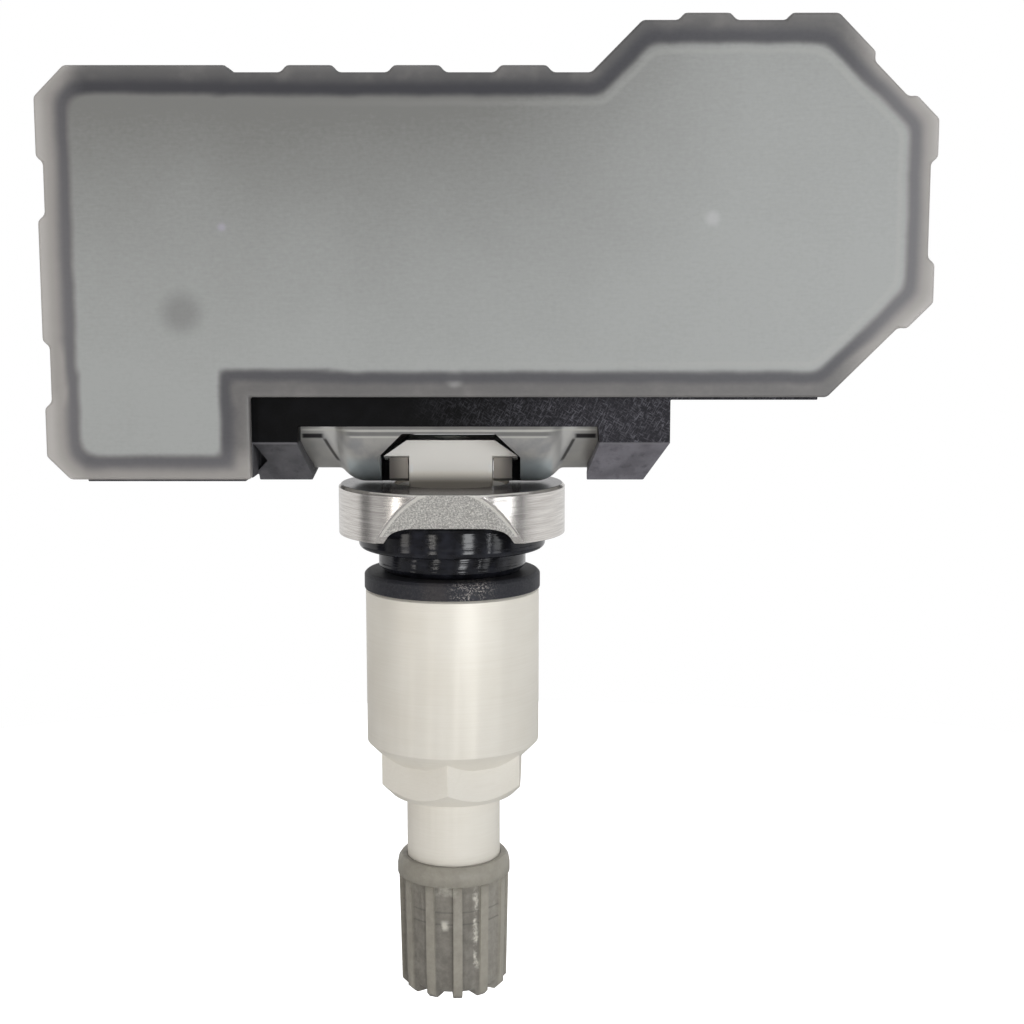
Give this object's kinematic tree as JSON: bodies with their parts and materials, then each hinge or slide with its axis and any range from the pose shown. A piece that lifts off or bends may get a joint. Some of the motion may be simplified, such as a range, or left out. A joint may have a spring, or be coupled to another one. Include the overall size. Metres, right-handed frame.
{
  "type": "tyre pressure sensor",
  "caption": "Tyre pressure sensor: a sealed body with a frosted cover, whose steel hoop swivels on the head of a clamp-in valve with a collar, seal, nut and ribbed cap.",
  "frame": {"origin": "on the valve axis, on the underside of the grommet's flange, which rests on the wheel rim", "axes": "+X along the sensor body away from its leg, +Y from the cover to the back, +Z from the rim seat up to the sensor body, so the valve points along -Z"},
  "size_m": [0.0716, 0.0196, 0.0837],
  "materials": {
    "housing_plastic": "moulded, satin",
    "cover_plastic": "frosted, laser welded",
    "hoop_steel": "stamped, satin",
    "board_laminate": "green solder mask",
    "cell_steel": "nickel plated",
    "tab_nickel": "welded strip",
    "chip_plastic": "moulded",
    "seal_rubber": "smooth",
    "coil_ferrite": "wound",
    "crystal_can": "plated",
    "capacitor_ceramic": "fired",
    "antenna_wire": "bright",
    "valve_aluminium": "anodised, champagne",
    "collar_steel": "turned, with a rough flat",
    "grommet_rubber": "glossy black",
    "core_brass": "turned",
    "core_seal_polymer": "smooth",
    "spring_steel": "drawn wire",
    "washer_black": "black, granular",
    "nut_aluminium": "anodised, champagne",
    "cap_plastic": "ribbed, slightly translucent"
  },
  "bodies": {
    "valve": {"valve_stem": "valve_aluminium", "collar": "collar_steel", "grommet": "grommet_rubber", "core_body": "core_brass", "core_seal": "core_seal_polymer", "core_spring": "spring_steel"},
    "sensor": {"housing": "housing_plastic", "cover": "cover_plastic", "hoop": "hoop_steel", "circuit_board": "board_laminate", "coin_cell": "cell_steel", "cell_tab_front": "tab_nickel", "cell_tab_back": "tab_nickel", "pressure_sensor": "chip_plastic", "port_seal": "seal_rubber", "radio_chip": "chip_plastic", "wake_coil": "coil_ferrite", "crystal": "crystal_can", "capacitors": "capacitor_ceramic", "antenna": "antenna_wire"},
    "washer": {"washer": "washer_black"},
    "nut": {"nut": "nut_aluminium"},
    "cap_seal": {"cap_seal": "seal_rubber"},
    "cap": {"cap": "cap_plastic"},
    "core_pin": {"core_pin": "core_brass", "core_cup": "core_brass"}
  },
  "joints": [
    {"name": "housing_tilt", "type": "hinge", "parent": "valve", "child": "sensor", "pos_m": [0, 0, 0.014], "axis": [-1, 0, 0], "range_deg": [0, 30]},
    {"name": "nut_travel", "type": "slide", "parent": "valve", "child": "washer", "axis": [0, 0, -1], "range_m": [0, 0.005]},
    {"name": "nut_turn", "type": "hinge", "parent": "washer", "child": "nut", "pos_m": [0, 0, 0], "axis": [0, 0, -1], "range_deg": [0, 1801]},
    {"name": "cap_travel", "type": "slide", "parent": "valve", "child": "cap_seal", "axis": [0, 0, -1], "range_m": [0, 0.00794]},
    {"name": "cap_turn", "type": "hinge", "parent": "cap_seal", "child": "cap", "pos_m": [0, 0, 0], "axis": [0, 0, -1], "range_deg": [0, 3601]},
    {"name": "core_press", "type": "slide", "parent": "valve", "child": "core_pin", "axis": [0, 0, 1], "range_m": [0, 0.0012], "stiffness_N_per_m": 800, "deforming": ["core_spring"]}
  ],
  "couplings": [
    {"joint": "nut_turn", "follows": "nut_travel", "rad_per_m": 6283.2},
    {"joint": "cap_turn", "follows": "cap_travel", "rad_per_m": 7913.3}
  ]
}
